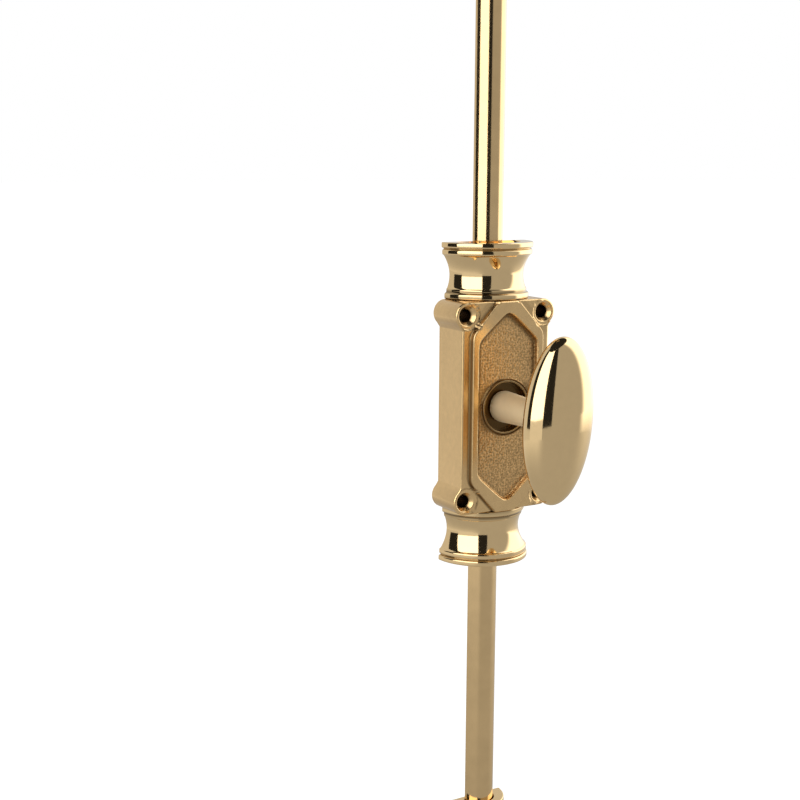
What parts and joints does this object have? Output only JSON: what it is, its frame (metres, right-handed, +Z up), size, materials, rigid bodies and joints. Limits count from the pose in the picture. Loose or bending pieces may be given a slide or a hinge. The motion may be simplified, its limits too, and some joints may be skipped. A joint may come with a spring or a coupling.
{
  "type": "cremone bolt",
  "caption": "Brass cremone bolt: an oval knob on a cast gear case with flared collars drives half-round rods up and down through guides into keepers; flat strike plates beside.",
  "frame": {"origin": "centre of the gear case's screw holes, on the back plane behind the spindle", "axes": "+Z up along the rods, +Y into the door, -Y towards the hand, +X to the right seen from the front"},
  "size_m": [0.1252, 0.0605, 1.156],
  "materials": {
    "cast_brass": "satin, cast",
    "polished_brass": "polished",
    "drawn_brass": "polished",
    "steel": "plain"
  },
  "bodies": {
    "case": {"gear_case": "cast_brass", "upper_collar": "polished_brass", "lower_collar": "polished_brass", "back_plate": "cast_brass", "back_plate_screws": "steel", "front_bush": "polished_brass", "rear_bush": "polished_brass", "upper_middle_guide": "polished_brass", "lower_middle_guide": "polished_brass", "upper_end_guide": "polished_brass", "lower_end_guide": "polished_brass", "top_keeper": "polished_brass", "bottom_keeper": "polished_brass", "top_strike_plate": "drawn_brass", "bottom_strike_plate": "drawn_brass"},
    "knob": {"oval_knob": "polished_brass", "knob_neck": "polished_brass", "knob_grub_screw": "steel", "spindle": "steel", "pinion": "steel", "thrust_washer": "steel", "spring_washer": "steel", "retaining_clip": "steel"},
    "upper_rod": {"upper_rod": "drawn_brass", "upper_rack": "steel", "upper_rack_rivets": "steel"},
    "lower_rod": {"lower_rod": "drawn_brass", "lower_rack": "steel", "lower_rack_rivets": "steel"}
  },
  "joints": [
    {"name": "knob_turn", "type": "hinge", "parent": "case", "child": "knob", "pos_m": [0, 0, 0], "axis": [0, 1, 0], "range_deg": [0, 180]},
    {"name": "upper_rod_slide", "type": "slide", "parent": "case", "child": "upper_rod", "axis": [0, 0, 1], "range_m": [0, 0.01885]},
    {"name": "lower_rod_slide", "type": "slide", "parent": "case", "child": "lower_rod", "axis": [0, 0, -1], "range_m": [0, 0.01885]}
  ],
  "couplings": [
    {"joint": "knob_turn", "follows": "upper_rod_slide", "rad_per_m": 166.67},
    {"joint": "lower_rod_slide", "follows": "upper_rod_slide", "ratio": 1}
  ]
}
